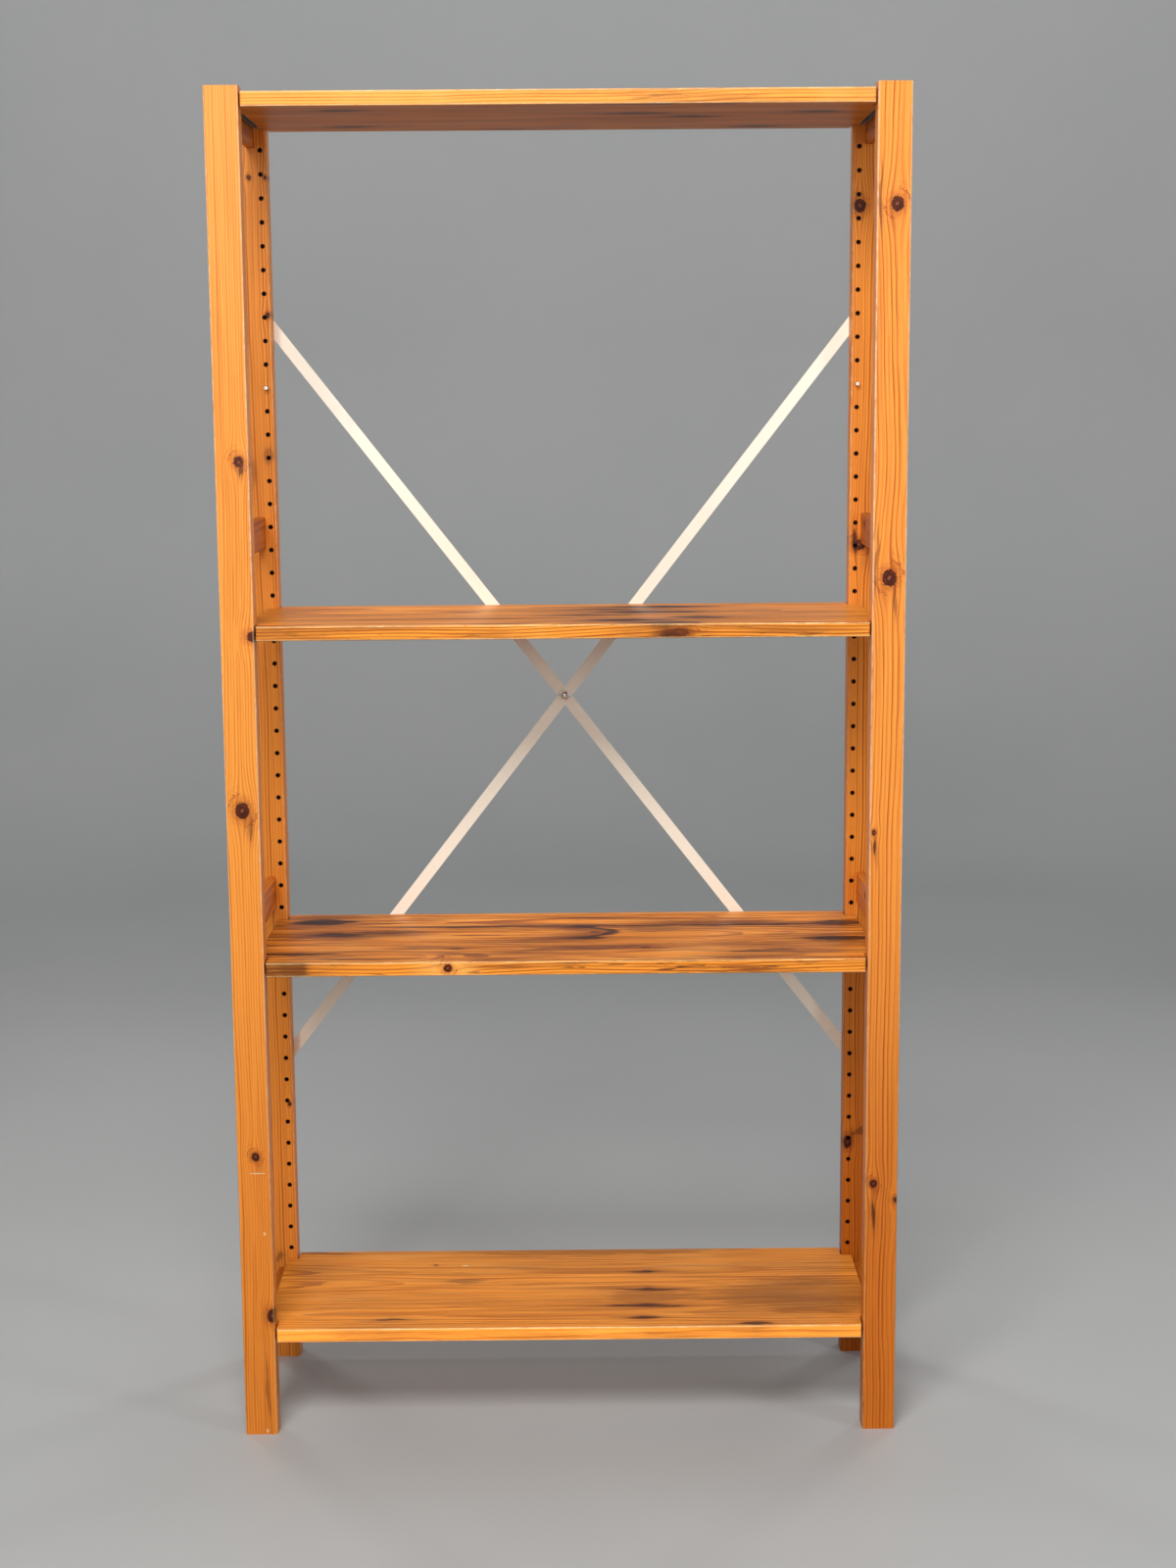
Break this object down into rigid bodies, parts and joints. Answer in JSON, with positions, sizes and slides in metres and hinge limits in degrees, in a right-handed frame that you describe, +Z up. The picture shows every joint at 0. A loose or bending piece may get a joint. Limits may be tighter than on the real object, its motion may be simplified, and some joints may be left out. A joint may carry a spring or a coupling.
{
  "type": "bookcase with adjustable shelves",
  "caption": "Open pine bookcase with ladder sides, notched shelves that lift off steel pins in rows of holes, and a flat steel X brace behind the rear posts.",
  "frame": {"origin": "on the floor, in the middle of the whole outline in X and Y", "axes": "+X to the right seen from the front, +Y from the front to the back, +Z up"},
  "size_m": [0.89, 0.3056, 1.79],
  "materials": {
    "post_pine": "orange-brown lacquered pine with straight grain, knots and worn edges",
    "rung_pine": "orange-brown lacquered pine",
    "shelf_pine": "edge-glued lacquered pine staves with knots and dark streaks",
    "channel_steel": "zinc-plated sheet steel, dull",
    "pin_steel": "zinc-plated steel, slightly worn",
    "fastener_steel": "zinc-plated steel, slightly worn",
    "brace_paint": "cream paint on flat steel, semi-gloss, slightly chipped"
  },
  "bodies": {
    "frame": {"left_front_post": "post_pine", "left_rear_post": "post_pine", "right_front_post": "post_pine", "right_rear_post": "post_pine", "left_bottom_rung": "rung_pine", "left_lower_rung": "rung_pine", "left_upper_rung": "rung_pine", "left_top_rung": "rung_pine", "right_bottom_rung": "rung_pine", "right_lower_rung": "rung_pine", "right_upper_rung": "rung_pine", "right_top_rung": "rung_pine", "bottom_shelf_pins": "pin_steel", "lower_shelf_pins": "pin_steel", "upper_shelf_pins": "pin_steel", "top_shelf_pins": "pin_steel", "brace_front_bar": "brace_paint", "brace_rear_bar": "brace_paint", "brace_rivet": "fastener_steel", "brace_screws": "fastener_steel"},
    "bottom_shelf": {"bottom_shelf_board": "shelf_pine", "bottom_shelf_channels": "channel_steel"},
    "lower_shelf": {"lower_shelf_board": "shelf_pine", "lower_shelf_channels": "channel_steel"},
    "upper_shelf": {"upper_shelf_board": "shelf_pine", "upper_shelf_channels": "channel_steel"},
    "top_shelf": {"top_shelf_board": "shelf_pine", "top_shelf_channels": "channel_steel"},
    "left_spare_pin": {"left_spare_pin": "pin_steel"},
    "right_spare_pin": {"right_spare_pin": "pin_steel"}
  },
  "joints": [
    {"name": "bottom_shelf_lift", "type": "slide", "parent": "frame", "child": "bottom_shelf", "axis": [0, 0, 1], "range_m": [0, 0.48]},
    {"name": "lower_shelf_lift", "type": "slide", "parent": "frame", "child": "lower_shelf", "axis": [0, 0, 1], "range_m": [0, 0.42]},
    {"name": "upper_shelf_lift", "type": "slide", "parent": "frame", "child": "upper_shelf", "axis": [0, 0, 1], "range_m": [0, 0.3]},
    {"name": "top_shelf_lift", "type": "slide", "parent": "frame", "child": "top_shelf", "axis": [0, 0, 1], "range_m": [0, 0.06]},
    {"name": "left_spare_pin_pull", "type": "slide", "parent": "frame", "child": "left_spare_pin", "axis": [0, -1, 0], "range_m": [0, 0.016]},
    {"name": "right_spare_pin_pull", "type": "slide", "parent": "frame", "child": "right_spare_pin", "axis": [0, -1, 0], "range_m": [0, 0.016]}
  ]
}
